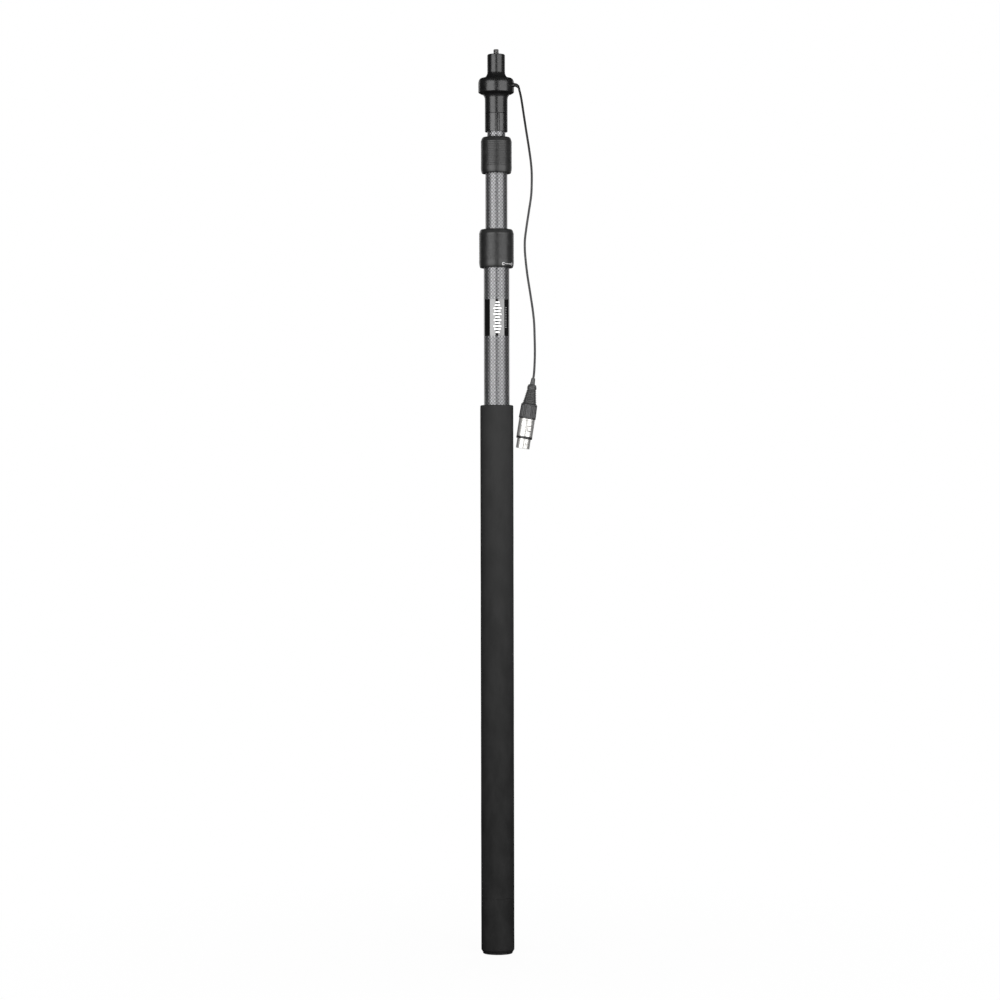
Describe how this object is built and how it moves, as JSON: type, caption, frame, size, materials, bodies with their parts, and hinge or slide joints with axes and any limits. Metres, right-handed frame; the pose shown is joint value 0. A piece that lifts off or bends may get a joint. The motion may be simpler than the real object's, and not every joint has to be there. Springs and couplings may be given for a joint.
{
  "type": "boom pole",
  "caption": "Telescoping carbon microphone boom pole, closed, with foam grip, twist-lock collars, audio output in the butt and a pigtail plug at the head.",
  "frame": {"origin": "centre of the butt's lowest face, on the pole's axis", "axes": "+Z along the pole from butt to head, front of the pole towards -Y, pigtail cable on the +X side"},
  "size_m": [0.0674, 0.0414, 1.0482],
  "materials": {
    "carbon": "gloss",
    "foam": "matte",
    "rubber": "satin",
    "black_plastic": "satin",
    "black_aluminium": "satin",
    "steel": "polished",
    "nickel": "satin",
    "contact_gold": "polished",
    "nylon": "satin",
    "cable_jacket": "satin"
  },
  "bodies": {
    "handle": {"handle_tube": "carbon", "foam_grip": "foam", "grip_end_cap": "foam", "butt_cap": "black_plastic", "butt_housing": "black_aluminium", "output_shell": "nickel", "output_insert": "black_plastic", "output_pin_1": "contact_gold", "output_pin_2": "contact_gold", "output_pin_3": "contact_gold", "butt_screw_1": "steel", "butt_screw_2": "steel", "cable_anchor": "black_plastic", "coiled_cable": "cable_jacket", "lower_ferrule": "black_aluminium"},
    "lower_collet": {"lower_collet": "nylon"},
    "lower_collar": {"lower_collar_nut": "black_aluminium", "lower_collar_sleeve": "rubber"},
    "middle_guide": {"middle_guide": "nylon"},
    "middle_section": {"middle_tube": "carbon", "upper_ferrule": "black_aluminium"},
    "upper_collet": {"upper_collet": "nylon"},
    "upper_collar": {"upper_collar_nut": "black_aluminium", "upper_collar_sleeve": "rubber"},
    "inner_guide": {"inner_guide": "nylon"},
    "inner_section": {"inner_tube": "carbon", "head_sleeve": "black_aluminium", "head_key": "black_aluminium", "head_hub": "black_aluminium", "head_set_screw": "steel", "mic_adapter": "black_aluminium", "mic_stud": "steel", "cable_lead": "cable_jacket", "cable_gland": "rubber", "pigtail_cable": "cable_jacket", "plug_boot": "rubber", "plug_cap": "black_plastic", "plug_chuck": "nylon", "plug_shell": "nickel", "plug_ring": "black_plastic", "plug_nose": "nickel", "plug_insert": "black_plastic", "plug_contact_1": "contact_gold", "plug_contact_2": "contact_gold", "plug_contact_3": "contact_gold"},
    "plug_latch": {"plug_latch": "nickel"}
  },
  "joints": [
    {"name": "middle_slide", "type": "slide", "parent": "handle", "child": "middle_guide", "axis": [0, 0, 1], "range_m": [0, 0.725], "deforming": ["coiled_cable"]},
    {"name": "middle_spin", "type": "hinge", "parent": "middle_guide", "child": "middle_section", "pos_m": [0, 0, 0.0613], "axis": [0, 0, 1], "range_deg": [-180, 180]},
    {"name": "inner_slide", "type": "slide", "parent": "middle_section", "child": "inner_guide", "axis": [0, 0, 1], "range_m": [0, 0.725], "deforming": ["coiled_cable"]},
    {"name": "inner_spin", "type": "hinge", "parent": "inner_guide", "child": "inner_section", "pos_m": [0, 0, 0.0823], "axis": [0, 0, 1], "range_deg": [-180, 180]},
    {"name": "lower_collet_slide", "type": "slide", "parent": "handle", "child": "lower_collet", "axis": [0, 0, 1], "range_m": [0, 0.000666]},
    {"name": "lower_collar_turn", "type": "hinge", "parent": "lower_collet", "child": "lower_collar", "pos_m": [0, 0, 0.817], "axis": [0, 0, 1], "range_deg": [0, 120]},
    {"name": "upper_collet_slide", "type": "slide", "parent": "middle_section", "child": "upper_collet", "axis": [0, 0, 1], "range_m": [0, 0.000666]},
    {"name": "upper_collar_turn", "type": "hinge", "parent": "upper_collet", "child": "upper_collar", "pos_m": [0, 0, 0.925], "axis": [0, 0, 1], "range_deg": [0, 120]},
    {"name": "plug_latch_press", "type": "slide", "parent": "inner_section", "child": "plug_latch", "axis": [-0.4715, 0.8788, 0.073], "range_m": [0, 0.0011], "stiffness_N_per_m": 1500, "springref_m": -0.0005}
  ],
  "couplings": [
    {"joint": "lower_collar_turn", "follows": "lower_collet_slide", "rad_per_m": 3141.6},
    {"joint": "upper_collar_turn", "follows": "upper_collet_slide", "rad_per_m": 3141.6}
  ]
}
